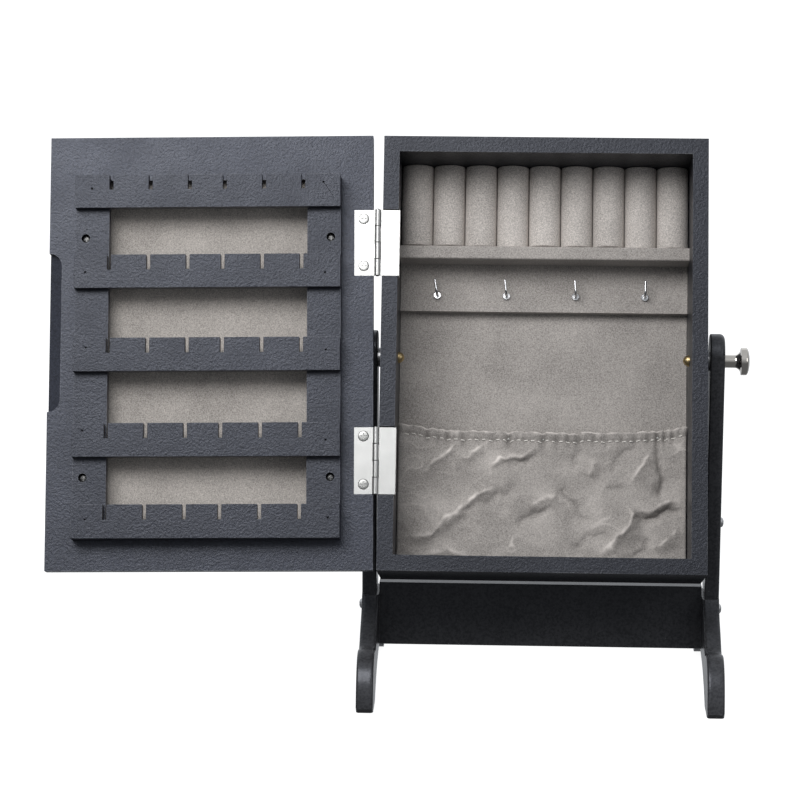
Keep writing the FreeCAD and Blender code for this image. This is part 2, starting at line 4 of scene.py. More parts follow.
import bpy
import numpy as np
from mathutils import Matrix, Vector, noise


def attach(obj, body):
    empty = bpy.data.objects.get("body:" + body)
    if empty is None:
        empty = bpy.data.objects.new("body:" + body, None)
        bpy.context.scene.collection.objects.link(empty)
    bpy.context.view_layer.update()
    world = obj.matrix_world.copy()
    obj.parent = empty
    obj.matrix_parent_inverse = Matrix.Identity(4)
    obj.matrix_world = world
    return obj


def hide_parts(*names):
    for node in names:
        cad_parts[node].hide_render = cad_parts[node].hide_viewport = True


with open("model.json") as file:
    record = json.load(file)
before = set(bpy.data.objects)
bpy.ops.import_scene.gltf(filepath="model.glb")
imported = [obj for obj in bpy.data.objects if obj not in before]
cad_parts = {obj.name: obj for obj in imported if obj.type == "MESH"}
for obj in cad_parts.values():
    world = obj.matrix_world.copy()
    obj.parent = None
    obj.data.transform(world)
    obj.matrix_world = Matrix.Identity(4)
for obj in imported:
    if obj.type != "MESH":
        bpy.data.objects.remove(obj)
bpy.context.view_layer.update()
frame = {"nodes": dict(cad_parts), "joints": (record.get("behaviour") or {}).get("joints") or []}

# ------------------------------------------------------------------ the set
# White backdrop paper, and the camera in front and a little above. One wide softbox hangs
# in front and above, a weak lamp stands on the right, and the room is dark near the floor
# and bright behind.
scene = bpy.context.scene
scene.view_settings.view_transform = "Standard"
scene.view_settings.look = "None"


def new_material(name):
    made = bpy.data.materials.new(name)
    made.use_nodes = True
    return made


def add(material, kind, of=(), **inputs):
    """Adds a shader node. Its inputs are numbers, colours or other nodes' outputs."""
    made = material.node_tree.nodes.new("ShaderNode" + kind)
    named = [(made.inputs[i], value) for i, value in enumerate(of)]
    for key, value in inputs.items():
        if hasattr(made, key):
            setattr(made, key, value)
        else:
            named.append((made.inputs[key.replace("_", " ")], value))
    for socket, value in named:
        if isinstance(value, bpy.types.NodeSocket):
            material.node_tree.links.new(value, socket)
        else:
            socket.default_value = value
    return made


def shade(material, **inputs):
    """Sets or links inputs of the material's own shader."""
    shader = material.node_tree.nodes["Principled BSDF"]
    for key, value in inputs.items():
        socket = shader.inputs[key.replace("_", " ")]
        if isinstance(value, bpy.types.NodeSocket):
            material.node_tree.links.new(value, socket)
        else:
            socket.default_value = value


def levels(material, value, low, high, to_low=0.0, to_high=1.0):
    """Spreads the part of a value between low and high over to_low to to_high."""
    made = add(
        material, "MapRange", Value=value, From_Min=low, From_Max=high, To_Min=to_low, To_Max=to_high)
    return made.outputs["Result"]


paper = new_material("backdrop_paper")
shade(paper, Base_Color=(0.35, 0.35, 0.35, 1), Roughness=0.9)
shade(paper, Emission_Color=(1, 1, 1, 1), Emission_Strength=0.93)
bpy.ops.mesh.primitive_plane_add(size=40, location=(0, 0, -0.0003))
floor = bpy.context.object
floor.name = "backdrop"
floor.data.materials.append(paper)
floor.visible_glossy = False
floor.visible_diffuse = False

room = bpy.data.worlds.new("studio_room")
room.use_nodes = True
direction = add(room, "SeparateXYZ", (add(room, "TexCoord").outputs["Generated"],))
ceiling = levels(room, direction.outputs["Z"], -0.1, 0.6, 0.13, 0.55)
wall_behind = levels(room, direction.outputs["Y"], 0.5, 0.9, 0.0, 0.5)
brightness = add(room, "Math", (ceiling, wall_behind), operation="ADD").outputs["Value"]
room_light = room.node_tree.nodes["Background"]
room_light.inputs["Color"].default_value = (0.93, 0.96, 1.0, 1)
room.node_tree.links.new(brightness, room_light.inputs["Strength"])
scene.world = room

for name, place, aim, wide, tall, power in (
        ("softbox", (-0.55, -1.25, 1.5), (0.0, 0.0, 0.2), 1.3, 0.95, 26),
        ("side_lamp", (1.6, -1.3, 0.9), (0.05, 0.0, 0.2), 0.8, 0.8, 3)):
    lamp = bpy.data.objects.new(name, bpy.data.lights.new(name, "AREA"))
    lamp.data.shape = "RECTANGLE"
    lamp.data.size = wide
    lamp.data.size_y = tall
    lamp.data.energy = power
    lamp.location = place
    lamp.rotation_euler = (Vector(aim) - Vector(place)).to_track_quat("-Z", "Y").to_euler()
    scene.collection.objects.link(lamp)

camera = bpy.data.objects.new("camera", bpy.data.cameras.new("camera"))
camera.data.lens = 135
camera.data.sensor_width = 36
camera.location = (0.07877, -1.98918, 0.60258)
camera.rotation_euler = (math.radians(78.365), math.radians(-0.247), math.radians(2.305))
scene.collection.objects.link(camera)
scene.camera = camera

# ------------------------------------------------------------------ stand
# Two sawn feet with round toes, two posts and the board between them, of hardwood.
# All are sprayed in gloss black before they are screwed together.


def cloudy(material, scale, detail=3.0, roughness=0.5, stretch=(1, 1, 1)):
    """An uneven pattern fixed to the piece. Scale is in clouds per metre."""
    place = add(material, "TexCoord").outputs["Object"]
    mapped = add(material, "Mapping", Vector=place, Scale=stretch).outputs["Vector"]
    made = add(material, "TexNoise", Vector=mapped, Scale=scale, Detail=detail, Roughness=roughness)
    return made.outputs["Fac"]


def blend_colours(material, share, first, second):
    """Mixes two colours, or the outputs of two nodes, by a share from 0 to 1."""
    made = add(material, "Mix", data_type="RGBA")
    for socket, value in ((0, share), (6, first), (7, second)):
        if isinstance(value, bpy.types.NodeSocket):
            material.node_tree.links.new(value, made.inputs[socket])
        else:
            made.inputs[socket].default_value = value if socket == 0 else (*value, 1)
    return made.outputs[2]


def lacquer(name, colour, gloss, peel, wear, coat=0.0, shine=0.5):
    """Sprayed black paint: orange peel, faint clouds, pale rubbed edges and a few specks of dust."""
    made = new_material(name)
    dark = tuple(0.82 * c for c in colour)
    light = tuple(1.2 * c for c in colour)
    rubbed = tuple(0.22 + 2.2 * c for c in colour)
    tone = blend_colours(made, levels(made, cloudy(made, 17.0), 0.3, 0.7), dark, light)

    # Rubbed pale along the rounded edges, but not along the mitres.
    bevel = add(made, "Bevel", samples=4, Radius=0.0007).outputs["Normal"]
    flat = add(made, "NewGeometry").outputs["Normal"]
    turn = add(made, "VectorMath", (bevel, flat), operation="DOT_PRODUCT").outputs["Value"]
    edge = levels(made, turn, 0.995, 0.9)
    change = add(made, "VectorMath", (bevel, flat), operation="SUBTRACT").outputs["Vector"]
    along = add(made, "VectorMath", (change,), operation="NORMALIZE").outputs["Vector"]
    across = add(made, "SeparateXYZ", (along,)).outputs["X"]
    across = add(made, "Math", (across,), operation="ABSOLUTE").outputs["Value"]
    mitre = add(made, "Math", (across, 0.69, 0.13), operation="COMPARE").outputs["Value"]
    edge = add(made, "Math", (edge, mitre), operation="SUBTRACT", use_clamp=True).outputs["Value"]
    patchy = levels(made, cloudy(made, 60.0, detail=4.0), 0.42, 0.75, 0.0, wear)
    edge = add(made, "Math", (edge, patchy), operation="MULTIPLY").outputs["Value"]
    tone = blend_colours(made, edge, tone, rubbed)

    # A few specks of dust, then the grain of the paint.
    place = add(made, "TexCoord").outputs["Object"]
    cell = add(made, "TexVoronoi", Vector=place, Scale=230.0, Randomness=1.0).outputs["Distance"]
    speck = levels(made, cell, 0.055, 0.04)
    few = levels(made, cloudy(made, 45.0, detail=1.0), 0.62, 0.66)
    speck = add(made, "Math", (speck, few), operation="MULTIPLY").outputs["Value"]
    tone = blend_colours(made, speck, tone, (0.3, 0.3, 0.3))
    grain = cloudy(made, 620.0, detail=3.0, roughness=0.65)
    tone = blend_colours(made, levels(made, grain, 0.42, 0.62, 0.0, 0.5), tone, (0.0, 0.0, 0.0))
    bump = add(made, "Bump", Height=grain, Strength=peel, Distance=0.0006).outputs["Normal"]
    shade(made, Specular_Tint=(0.85, 0.885, 1.0, 1), Specular_IOR_Level=shine)
    sheen_of_paint = levels(made, cloudy(made, 38.0), 0.3, 0.7, gloss - 0.04, gloss + 0.05)
    shade(made, Base_Color=tone, Roughness=sheen_of_paint, Normal=bump)
    shade(made, Coat_Weight=coat, Coat_Roughness=0.12)
    return made


def finish(material, *nodes):
    """Gives pieces of the fixed frame their finish."""
    for name in nodes:
        piece = frame["nodes"][name]
        piece.data.materials.clear()
        piece.data.materials.append(material)


def ease(radius, *nodes):
    """Takes the sharpness off sawn and sanded edges."""
    for name in nodes:
        piece = frame["nodes"][name]
        weld = piece.modifiers.new("join", "WELD")
        weld.merge_threshold = 0.00001
        bevel = piece.modifiers.new("eased_edges", "BEVEL")
        bevel.width = radius
        bevel.segments = 2
        bevel.limit_method = "ANGLE"
        bevel.angle_limit = math.radians(40)
        bevel.use_clamp_overlap = True
        piece.modifiers.new("even_shading", "WEIGHTED_NORMAL")


stand_black = lacquer("stand_black", (0.05, 0.0505, 0.054), 0.3, 0.08, 0.5, coat=0.1, shine=0.42)
finish(stand_black, "foot_left", "foot_right", "post_left", "post_right", "stretcher")
ease(0.0005, "post_left", "post_right", "foot_left", "foot_right")

# ------------------------------------------------------------------ stand hardware
# Zinc-plated pan-head screws hold the posts and the stretcher, and two beech dowels
# keep the stretcher from turning.


def metal(name, colour, roughness):
    """Plated or polished metal with fine handling scuffs."""
    made = new_material(name)
    scuffs = cloudy(made, 420.0, detail=4.0)
    rough = levels(made, scuffs, 0.3, 0.75, roughness, roughness + 0.06)
    cloud = levels(made, cloudy(made, 90.0), 0.3, 0.7)
    tone = blend_colours(made, cloud, tuple(0.9 * c for c in colour), colour)
    fine = cloudy(made, 1500.0)
    bump = add(made, "Bump", Height=fine, Strength=0.04, Distance=0.0002).outputs["Normal"]
    shade(made, Base_Color=tone, Metallic=1.0, Roughness=rough, Normal=bump)
    return made


zinc = metal("stand_screw_zinc", (0.78, 0.78, 0.79), 0.24)
finish(zinc, "post_screw_left", "post_screw_right", "foot_screw_left", "foot_screw_right")

beech = new_material("dowel_beech")
rings = cloudy(beech, 220.0, detail=5.0, stretch=(0.08, 1, 1))
shade(beech, Base_Color=blend_colours(beech, rings, (0.42, 0.28, 0.15), (0.66, 0.5, 0.32)), Roughness=0.6)
finish(beech, "stretcher_dowels")

# ------------------------------------------------------------------ cabinet boards
# Four mitred boards in satin black round a thin back panel. The paint is a cool
# blue-grey black, rubbed pale along the edges where hands and the door touch it.
cabinet_black = lacquer("cabinet_black", (0.02, 0.0215, 0.027), 0.38, 0.55, 1.0, shine=0.46)
finish(cabinet_black, "side_left", "side_right", "top_board", "bottom_board")
back_black = lacquer("back_black", (0.02, 0.021, 0.025), 0.5, 0.1, 0.3)
finish(back_black, "back_panel")

# ------------------------------------------------------------------ velvet boards
# The lining, the ring shelf and the hook board are thin boards wrapped in grey-taupe
# velvet, glued behind. The nap is speckled and lies in soft lighter and darker patches.


def velvet(name, colour, creases=0.0, painted_light=False):
    """Short-pile velvet: speckled pile, soft patches from brushing, faint creases.
    With painted_light, the piece gives for each point its painted highlight or painted shade, from pale 1
    to dark -1."""
    made = new_material(name)
    dark = tuple(0.5 * c for c in colour)
    light = tuple(1.45 * c for c in colour)
    speckle = cloudy(made, 1250.0, detail=3.0, roughness=0.8)
    patch = cloudy(made, 28.0, detail=3.0)
    fine = levels(made, speckle, 0.36, 0.64)
    fine = add(made, "Math", (fine, 0.75), operation="MULTIPLY").outputs["Value"]
    broad = levels(made, patch, 0.3, 0.7, 0.0, 0.25)
    share = add(made, "Math", (fine, broad), operation="ADD").outputs["Value"]
    tone = blend_colours(made, share, dark, light)
    if painted_light:
        # Painted light: the piece's own layer moves the tone towards a painted highlight or a painted
        # shade.
        painted_light_fac = add(made, "Attribute", attribute_name="painted_light").outputs["Fac"]
        painted_highlight_tone = tuple(min(1.0, 2.3 * c) for c in colour)
        painted_shade_tone = tuple(0.25 * c for c in colour)
        tone = blend_colours(made, levels(made, painted_light_fac, 0.0, 1.0), tone, painted_highlight_tone)
        tone = blend_colours(made, levels(made, painted_light_fac, 0.0, -1.0), tone, painted_shade_tone)
    bump = add(made, "Bump", Height=speckle, Strength=0.35, Distance=0.0005)
    if creases:
        fold = levels(made, cloudy(made, 16.0, detail=2.0, stretch=(1, 1, 0.6)), 0.47, 0.5, 0.0, 1.0)
        wave = add(made, "Bump", Height=fold, Strength=creases, Distance=0.0015).outputs["Normal"]
        made.node_tree.links.new(wave, bump.inputs["Normal"])
    shade(made, Base_Color=tone, Roughness=0.95, Normal=bump.outputs["Normal"], Specular_IOR_Level=0.15)
    shade(made, Sheen_Weight=0.35, Sheen_Roughness=0.45, Sheen_Tint=(0.92, 0.88, 0.84, 1))
    return made


taupe = (0.40, 0.372, 0.35)
board_velvet = velvet("board_velvet", taupe)
finish(board_velvet, "back_lining", "ring_shelf", "hook_board")

# ------------------------------------------------------------------ ring rolls
# Nine foam rolls wrapped in the same velvet, pushed side by side between the shelf
# and the top board. Rings are pressed into the seams. Their lower ends lift a little.
tilt_joint = next(j for j in frame["joints"] if j["name"] == "cabinet_tilt")
upright_turn = math.radians(tilt_joint["range_deg"][0])
lean = Matrix.Translation(tilt_joint["pos_m"]) @ Matrix.Rotation(upright_turn, 4, "X")


def span(node):
    """Lowest and highest corner of a cabinet piece, square to the leaning cabinet, from the pivot."""
    upright = lean.inverted()
    corners = [upright @ vertex.co for vertex in frame["nodes"][node].data.vertices]
    low = Vector([min(c[i] for c in corners) for i in range(3)])
    high = Vector([max(c[i] for c in corners) for i in range(3)])
    return low, high


def skin(name, rows, material, closed=False, caps=False):
    """A piece of even quads through rows of points, given square to the leaning cabinet."""
    count = len(rows[0])
    points = [lean @ Vector(p) for row in rows for p in row]
    faces = []
    for r in range(len(rows) - 1):
        for c in range(count if closed else count - 1):
            along = (c + 1) % count
            this, above = r * count, (r + 1) * count
            faces.append((this + c, this + along, above + along, above + c))
    if caps:
        faces.append(tuple(reversed(range(count))))
        faces.append(tuple((len(rows) - 1) * count + c for c in range(count)))
    mesh = bpy.data.meshes.new(name)
    mesh.from_pydata(points, [], faces)
    mesh.materials.append(material)
    mesh.polygons.foreach_set("use_smooth", [True] * len(mesh.polygons))
    mesh.update()
    piece = bpy.data.objects.new(name, mesh)
    scene.collection.objects.link(piece)
    return piece


# Painted light: the rolls' velvet is the boards' velvet painted 1.38 times paler, a painted highlight on
# the rolls.
roll_velvet_painted_light = velvet("roll_velvet_painted_light", tuple(1.38 * c for c in taupe))
roll_lift = (0.0016, 0.0015, 0.0011, 0.0005, 0.0016, 0.0014, 0.0016, 0.0006, 0.001)
rim = 0.0009               # height of a roll's rounded end
round_steps = 32           # of the half circle
height_steps = 24
for i, lift in enumerate(roll_lift):
    cad_node = "ring_roll_%d" % (i + 1)
    low, high = span(cad_node)
    half = (high.x - low.x) / 2
    middle = (high.x + low.x) / 2
    rows = []
    heights = [(0.0, rim), (0.3, 0.3 * rim), (0.7, 0.08 * rim), (1.0, 0.0)]    # up the rim, and in
    levels_up = [(low.z + lift + rim * t, inset) for t, inset in heights]
    plain_height = high.z - low.z - lift - 2 * rim
    for k in range(1, height_steps):
        levels_up.append((low.z + lift + rim + plain_height * k / height_steps, 0.0))
    levels_up += [(high.z - rim * t, inset) for t, inset in reversed(heights)]
    for z, inset in levels_up:
        row = []
        for k in range(round_steps + 1):
            angle = math.pi * k / round_steps
            swell = 0.00018 * noise.noise(Vector((40 * (middle + i), angle, 55 * z)))
            x = middle - (half - inset) * math.cos(angle)
            y = low.y + half - (half - inset + swell) * math.sin(angle) ** 0.92
            row.append((x, y, z))
        row.append((middle + half - inset, high.y, z))
        row.append((middle - half + inset, high.y, z))
        rows.append(row)
    roll = skin("velvet_" + cad_node, rows, roll_velvet_painted_light, closed=True, caps=True)
    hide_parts(cad_node)
    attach(roll, "cabinet")

# ------------------------------------------------------------------ gathered pocket
# One piece of velvet, cut wider than the cabinet, with its top turned over a band of
# elastic and sewn. The elastic pulls it into small gathers, and below them the cloth
# hangs slack and creased. Its sides turn back to the lining and are glued there.
pocket_low, pocket_high = span("pocket")
pocket_side = 0.0003       # free of the right wall
pocket_slack = 0.0045      # how far the creases may come forward
corner = 0.0012            # radius where the sides turn back
hem = 0.0058               # stitch line below the top edge
stitch_pitch = 0.00475
sag = 0.0048               # of the elastic between its ends
left, right = pocket_low.x, pocket_high.x - pocket_side
front = pocket_low.y + pocket_slack
back = pocket_high.y - 0.0004
foot = pocket_low.z
top = pocket_high.z
width = right - left
rise = top - foot

# Plan of the sheet: back along the left wall, round the corner, across, and back again.
# Each place is x, y and the way out of the sheet there.
left_side = [(left, back + (front + corner - back) * k / 6, -1.0, 0.0) for k in range(7)]
for k in range(1, 6):
    a = math.pi / 2 * k / 6
    turned_in = corner * (1 - math.cos(a))
    left_side.append((left + turned_in, front + corner * (1 - math.sin(a)), -math.cos(a), -math.sin(a)))
right_side = [(left + right - x, y, -out_x, out_y) for x, y, out_x, out_y in reversed(left_side)]
across = 230
face = [(left + corner + (width - 2 * corner) * k / across, front, 0.0, -1.0) for k in range(across + 1)]
plan = left_side + face + right_side

# Each gather: its share of the way across, its depth, its width and how far it runs down.
gathers = (
    (0.035, 0.3, 2.0, 5), (0.10, 0.7, 2.2, 7), (0.135, 0.5, 1.8, 9), (0.17, 0.6, 2.0, 8),
    (0.228, 0.7, 2.6, 10), (0.28, 0.3, 2.0, 6), (0.33, 0.4, 2.0, 8), (0.382, 1.1, 2.2, 8),
    (0.44, 0.3, 2.0, 5), (0.503, 1.1, 2.2, 12), (0.55, 0.8, 2.0, 9), (0.593, 0.7, 2.0, 6),
    (0.623, 0.9, 2.2, 9), (0.68, 0.4, 2.0, 7), (0.72, 0.5, 2.0, 9), (0.775, 0.4, 2.4, 7),
    (0.82, 0.6, 2.2, 6), (0.868, 0.7, 2.0, 8), (0.90, 1.0, 2.2, 12), (0.925, 0.8, 2.0, 9),
    (0.955, 0.6, 2.0, 7))

# Each crease: height, width above and below it, and its line as shares across and up.
creases = (
    (2.3, 7, 5, ((0.0, 0.17), (0.117, 0.195), (0.215, 0.38), (0.295, 0.507), (0.366, 0.556))),
    (-1.0, 6, 6, ((0.27, 0.42), (0.38, 0.52), (0.42, 0.57))),
    (1.5, 4, 3, ((0.32, 0.70), (0.34, 0.713), (0.358, 0.755), (0.437, 0.776), (0.476, 0.83))),
    (-1.1, 3, 5, ((0.40, 0.74), (0.45, 0.755), (0.5, 0.82))),
    (1.3, 6, 7, ((0.08, 0.64), (0.15, 0.76), (0.206, 0.87))),
    (1.1, 5, 6, ((0.215, 0.74), (0.26, 0.80), (0.308, 0.87))),
    (0.8, 2, 2, ((0.186, 0.66), (0.196, 0.71), (0.203, 0.60))),
    (0.9, 5, 4, ((0.10, 0.05), (0.131, 0.065), (0.18, 0.085), (0.25, 0.03))),
    (-1.5, 6, 5, ((0.40, 0.26), (0.432, 0.312), (0.494, 0.38), (0.561, 0.429))),
    (1.1, 6, 7, ((0.45, 0.42), (0.53, 0.47), (0.56, 0.49))),
    (0.7, 3, 3, ((0.405, 0.2), (0.397, 0.08))),
    (-1.0, 4, 4, ((0.54, 0.545), (0.569, 0.512), (0.618, 0.415), (0.637, 0.34), (0.681, 0.297))),
    (-0.8, 2, 2, ((0.569, 0.512), (0.583, 0.54))),
    (-1.0, 5, 5, ((0.598, 0.66), (0.606, 0.77), (0.642, 0.86))),
    (1.0, 8, 8, ((0.66, 0.62), (0.69, 0.78))),
    (-1.1, 4, 5, ((0.735, 0.62), (0.749, 0.77), (0.788, 0.833), (0.837, 0.845))),
    (-0.8, 3, 4, ((0.71, 0.545), (0.75, 0.535), (0.788, 0.557))),
    (1.3, 9, 9, ((0.80, 0.58), (0.85, 0.72), (0.865, 0.8))),
    (-2.2, 4, 4, ((0.895, 0.865), (0.91, 0.694), (0.915, 0.565), (0.905, 0.448))),
    (-2.6, 3, 6, ((0.825, 0.325), (0.91, 0.373), (0.993, 0.428))),
    (1.2, 6, 3, ((0.83, 0.37), (0.91, 0.42), (0.98, 0.47))),
    (1.9, 5, 5, ((0.70, 0.04), (0.759, 0.179), (0.812, 0.286), (0.817, 0.34), (0.798, 0.415))),
    (-1.0, 4, 4, ((0.613, 0.072), (0.623, 0.136), (0.662, 0.2), (0.71, 0.212), (0.744, 0.147))),
    (-1.2, 4, 4, ((0.871, 0.2), (0.856, 0.105), (0.788, 0.029))),
    (1.0, 7, 7, ((0.88, 0.1), (0.95, 0.2), (0.98, 0.27))))


def along_line(px, pz, line):
    """Distance of points from a bent line, which side they are on, and how far along they lie."""
    best = np.full(px.shape, 1e9)
    side = np.zeros(px.shape)
    share = np.zeros(px.shape)
    for k in range(len(line) - 1):
        (ax, az), (bx, bz) = line[k], line[k + 1]
        dx, dz = bx - ax, bz - az
        t = np.clip(((px - ax) * dx + (pz - az) * dz) / (dx * dx + dz * dz), 0, 1)
        ox, oz = px - ax - t * dx, pz - az - t * dz
        far = np.hypot(ox, oz)
        near = far < best
        best = np.where(near, far, best)
        side = np.where(near, np.sign(dx * oz - dz * ox), side)
        share = np.where(near, (k + t) / (len(line) - 1), share)
    return best, side, share


def slack(px, pz):
    """How far the cloth stands forward, in millimetres, at places given in millimetres,
    and the painted light there, from pale 1 to dark -1: painted highlights on ridges and folds,
    painted shade below the ridges and in the hollows, and lighter and darker patches at random."""
    out = np.zeros(px.shape)
    painted_light = np.zeros(px.shape)
    sway = np.zeros(px.shape)
    for k in np.ndindex(px.shape):
        broad = noise.noise(Vector((px[k] / 9, pz[k] / 9, 8.2)))
        sway[k] = broad + 0.5 * noise.noise(Vector((px[k] / 4, pz[k] / 4, 1.2)))
    swayed_x, swayed_z = px + 2.4 * sway, pz + 2.4 * np.roll(sway, 7, axis=1)
    uneven = np.clip(0.75 + 1.3 * np.roll(sway, 31, axis=1), 0.15, 1.4)
    for height, above, below, line in creases:
        line = [(1000 * width * u, 1000 * rise * v) for u, v in line]
        far, side, share = along_line(swayed_x, swayed_z, line)
        reach = np.where(side > 0, above, below)
        fade = np.clip(4 * share, 0.15, 1) * np.clip(4 * (1 - share), 0.15, 1)
        out += 1.7 * height * fade * np.exp(-np.hypot(far, 0.4) / reach * 1.3)
        # Painted highlight along each ridge, and painted shade on its lower side.
        if height > 0:
            painted_light += 0.42 * min(height, 1.6) * fade * uneven * np.exp(-(far / 1.2) ** 2)
            shaded = np.exp(-((far - 0.5 * below) / (0.5 * below)) ** 2) * (side < 0)
            painted_light -= 0.16 * min(height, 1.6) * fade * shaded
        else:
            # Painted shade along each hollow.
            painted_light += 0.3 * max(height, -2.0) * fade * np.exp(-(far / (0.4 * reach)) ** 2)
    for k in np.ndindex(px.shape):
        here = Vector((px[k] / 34, pz[k] / 30, 3.7))
        out[k] += 1.2 * noise.noise(here) + 0.6 * noise.noise(here * 2.7)
        fold = 0.35 - abs(noise.noise(here * 3.1 + Vector((5, 0, 0))))
        out[k] += 0.9 * fold
        ridge = max(0.0, fold - 0.27) / 0.08
        # Painted highlight along the fold ridges, and lighter and darker patches at random.
        painted_light[k] += 0.5 * ridge * max(0.0, noise.noise(here * 1.3)) + 0.22 * noise.noise(here * 1.9)
    return out, painted_light


def top_edge(x):
    """Height of the pocket's top edge, pulled into waves by the gathers."""
    u = (x - left) / width
    z = top - sag * (1 - abs(2 * u - 1) ** 4)
    for place, depth, size, reach in gathers:
        z -= 0.0012 * depth * math.exp(-((u - place) * 1000 * width / size) ** 2)
    long_wave = 0.0006 * noise.noise(Vector((70 * x, 0.3, 0.1)))
    return z + long_wave + 0.0005 * noise.noise(Vector((210 * x, 0.3, 0.1)))


def pucker(x, below):
    """How deep the gathers pull the cloth in, at a distance below the stitch line, in metres."""
    u = (x - left) / width
    pull = 0.0
    for place, depth, size, reach in gathers:
        shape = math.exp(-((u - place) * 1000 * width / (size * (0.8 + 0.05 * below))) ** 2)
        pull += depth * shape * max(0.0, 1 - below / reach) ** 1.5
    tuck = math.exp(-(below / 2.2) ** 2) * (0.5 + 0.5 * math.cos(math.tau * (x - left) / stitch_pitch))
    return 0.0021 * pull + 0.0004 * tuck


front_rows = 120
xs = np.array([p[0] for p in plan])
tops = np.array([top_edge(x) for x in xs])
stitch_line = tops - hem
share_up = np.linspace(0, 1, front_rows)
grid_z = foot + share_up[:, None] * (stitch_line - foot)[None, :]
forward, painted_light = slack(np.repeat((xs - left)[None, :], front_rows, 0) * 1000, (grid_z - foot) * 1000)
calm = np.clip(share_up / 0.05, 0, 1)[:, None] * np.clip((1 - share_up) / 0.10, 0.0, 1)[:, None]
ends = np.clip(np.minimum(xs - left, right - xs) / 0.004, 0.1, 1)[None, :]
forward = np.clip(forward * calm * ends / 1000, -0.006, pocket_slack + 0.001)

# The front of the sheet, from its foot up to the stitch line.
rows = []
for r in range(front_rows):
    row = []
    for c, (x, y, out_x, out_y) in enumerate(plan):
        below = (stitch_line[c] - grid_z[r, c]) * 1000
        step = forward[r, c] - pucker(x, below)
        row.append((x, y + out_y * step, grid_z[r, c]))
        # Painted shade where the gathers pull the cloth in.
        painted_light[r, c] -= min(0.5, 350 * pucker(x, below))
    rows.append(row)

# The casing over the elastic: up from the stitch line, over the top and down behind.
casing_rows = 15
casing_painted_light = []
for k in range(1, casing_rows + 1):
    angle = math.pi * k / casing_rows
    row = []
    for c, (x, y, out_x, out_y) in enumerate(plan):
        tight = 1 - 0.35 * min(1.0, pucker(x, 0) / 0.001)
        thick = 0.0011 * tight
        lift = hem * math.sin(min(angle, math.pi - angle)) ** 0.8
        lump = 0.0008 * math.sin(angle) * noise.noise(Vector((230 * x, 1.2 * angle, 0.7)))
        outward = thick * math.cos(angle) + 0.0009 * math.sin(angle) + lump
        outward -= pucker(x, 0) * (1 - 0.45 * math.sin(angle))
        row.append((x + 0.6 * out_x * outward, y + out_y * outward, stitch_line[c] + lift))
        # Painted light on the hem: painted highlight along its top and where it bulges out, painted shade
        # in the gathers.
        hem_top_highlight = math.exp(-((angle - math.pi / 2) / 0.5) ** 2)
        casing_painted_light.append(0.5 * hem_top_highlight + 700 * lump - min(0.6, 300 * pucker(x, 0)) * (1 - hem_top_highlight))
    rows.append(row)
pocket_velvet = velvet("pocket_velvet", taupe, painted_light=True)
pocket = skin("gathered_pocket", rows, pocket_velvet)
# The pocket keeps its painted highlights and painted shade as a layer on its points.
painted_light_layer = pocket.data.attributes.new("painted_light", "FLOAT", "POINT")
painted_light_layer.data.foreach_set("value", list(painted_light.ravel()) + casing_painted_light)
cloth = pocket.modifiers.new("cloth_thickness", "SOLIDIFY")
cloth.thickness = 0.0006
cloth.offset = 0
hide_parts("pocket")
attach(pocket, "cabinet")

# The thread: a row of pale stitches that shows as dashes along the hem.
stitch_length = 0.0028
thread = 0.0003            # radius
sections, sides = 6, 6     # points along a stitch and round it
stitch_points = []
stitch_faces = []
not_front = np.array([p[3] for p in plan]) > -0.99
x = left + corner + 0.003
while x < right - corner - stitch_length:
    ring = []
    for k in range(sections):
        t = k / (sections - 1)
        here = x + stitch_length * t
        c = int(np.argmin(abs(xs - here) + 10 * not_front))
        surface = Vector(rows[front_rows - 1][c])
        sunk = 0.0005 if k in (0, sections - 1) else 0
        proud = 0.0006 + 0.0002 * math.sin(math.pi * t) - sunk
        ring.append(Vector((here, surface.y - proud, surface.z + 0.0002 * math.sin(900 * x))))
    first = len(stitch_points)
    last = first + sides * (sections - 1)
    for middle in ring:
        for q in range(sides):
            a = math.tau * q / sides
            from_middle = Vector((0, thread * math.cos(a), 1.5 * thread * math.sin(a)))
            stitch_points.append(lean @ (middle + from_middle))
    for k in range(sections - 1):
        for q in range(sides):
            a, b = first + sides * k + q, first + sides * k + (q + 1) % sides
            stitch_faces.append((a, b, b + sides, a + sides))
    stitch_faces.append(tuple(first + q for q in reversed(range(sides))))
    stitch_faces.append(tuple(last + q for q in range(sides)))
    x += stitch_pitch
mesh = bpy.data.meshes.new("pocket_stitches")
mesh.from_pydata(stitch_points, [], stitch_faces)
stitch_thread = new_material("stitch_thread")
ply = cloudy(stitch_thread, 2500.0)
thread_tone = blend_colours(stitch_thread, ply, (0.62, 0.59, 0.55), (0.9, 0.87, 0.82))
shade(stitch_thread, Base_Color=thread_tone, Roughness=0.8)
mesh.materials.append(stitch_thread)
mesh.polygons.foreach_set("use_smooth", [True] * len(mesh.polygons))
stitches = bpy.data.objects.new("pocket_stitches", mesh)
scene.collection.objects.link(stitches)
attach(stitches, "cabinet")

# The elastic inside the hem follows the same curve as the top edge.
rows = []
for part in (0.30, 0.50, 0.70):
    row = []
    for k in range(61):
        x = left + corner + (width - 2 * corner) * k / 60
        z = top - sag * (1 - abs(2 * (x - left) / width - 1) ** 4) - 0.0012
        row.append((x, front + 0.0006 + 0.0001 * part, z - hem * (1 - part)))
    rows.append(row)
elastic_weave = new_material("elastic_weave")
ribs = cloudy(elastic_weave, 900.0, stretch=(1, 1, 0.1))
weave_tone = blend_colours(elastic_weave, ribs, (0.55, 0.55, 0.52), (0.8, 0.8, 0.77))
shade(elastic_weave, Base_Color=weave_tone, Roughness=0.8)
elastic = skin("hem_elastic", rows, elastic_weave)
band = elastic.modifiers.new("band_thickness", "SOLIDIFY")
band.thickness = 0.0004
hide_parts("pocket_elastic")
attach(elastic, "cabinet")

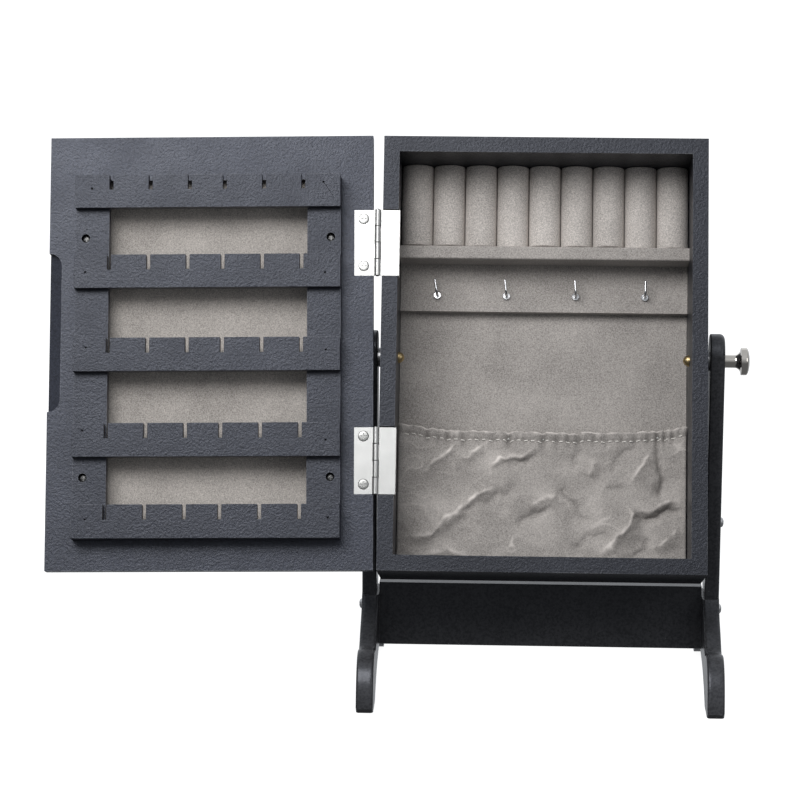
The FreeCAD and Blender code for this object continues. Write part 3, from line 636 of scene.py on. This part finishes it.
# ------------------------------------------------------------------ hooks and pivot
# Four plated shoulder hooks in the hook board, the brass bolts that the cabinet tilts
# on, their washers, and the turned nickel knobs that clamp them.
hook_chrome = metal("hook_chrome", (0.7, 0.7, 0.71), 0.14)
finish(hook_chrome, "hook_1", "hook_2", "hook_3", "hook_4")
brass = metal("bolt_brass", (0.5, 0.38, 0.2), 0.3)
finish(brass, "pivot_bolt_left", "pivot_bolt_right")
washer_steel = metal("washer_steel", (0.55, 0.55, 0.56), 0.35)
finish(washer_steel, "pivot_washer_left", "pivot_washer_right")
knob_nickel = metal("knob_nickel", (0.8, 0.76, 0.7), 0.08)
finish(knob_nickel, "knob_left", "knob_right")

# ------------------------------------------------------------------ hinges
# Bright nickel butt hinges of pressed sheet, each held by four countersunk screws.
hinge_nickel = metal("hinge_nickel", (0.5, 0.5, 0.49), 0.34)
for leaf in ("hinge_frame_leaf_", "hinge_door_leaf_"):
    finish(hinge_nickel, leaf + "upper", leaf + "lower")
# The pins are painted near black: painted shade in the gaps between the knuckles.
pin_painted_shade = metal("pin_painted_shade", (0.06, 0.06, 0.06), 0.5)
finish(pin_painted_shade, "hinge_pin_upper", "hinge_pin_lower")
hinge_screw = metal("hinge_screw_nickel", (0.38, 0.38, 0.37), 0.25)
finish(hinge_screw, "hinge_frame_screws", "hinge_door_screws")

# ------------------------------------------------------------------ door
# A sprayed door board with a mirror let into its outside and a velvet-wrapped panel
# inside, behind a rack of five notched slats nailed and screwed to two stiles.
door_black = lacquer("door_black", (0.028, 0.031, 0.044), 0.4, 0.6, 1.0, shine=0.64)
finish(door_black, "door_board")
rack_black = lacquer("rack_black", (0.023, 0.025, 0.034), 0.4, 0.7, 1.0, shine=0.6)
slats = ["slat_%d" % (i + 1) for i in range(5)]
finish(rack_black, "stile_hinge", "stile_free", *slats)
ease(0.00035, *slats)
door_velvet = velvet("door_velvet", (0.43, 0.398, 0.37), creases=0.3)
finish(door_velvet, "door_lining")
# The rack screws are painted dark, 0.13: painted shade for the counterbores they sit in.
rack_zinc_painted_shade = metal("rack_screw_painted_shade", (0.13, 0.13, 0.13), 0.3)
finish(rack_zinc_painted_shade, "rack_screws")
# The brads are painted near black: painted shade for the set holes they sit in.
brad_steel = metal("brad_steel", (0.03, 0.03, 0.03), 0.5)
finish(brad_steel, "rack_brads")
mirror_glass = new_material("mirror_glass")
film = levels(mirror_glass, cloudy(mirror_glass, 12.0), 0.3, 0.7, 0.015, 0.04)
shade(mirror_glass, Base_Color=(0.9, 0.92, 0.92, 1), Metallic=1.0, Roughness=film)
finish(mirror_glass, "mirror")
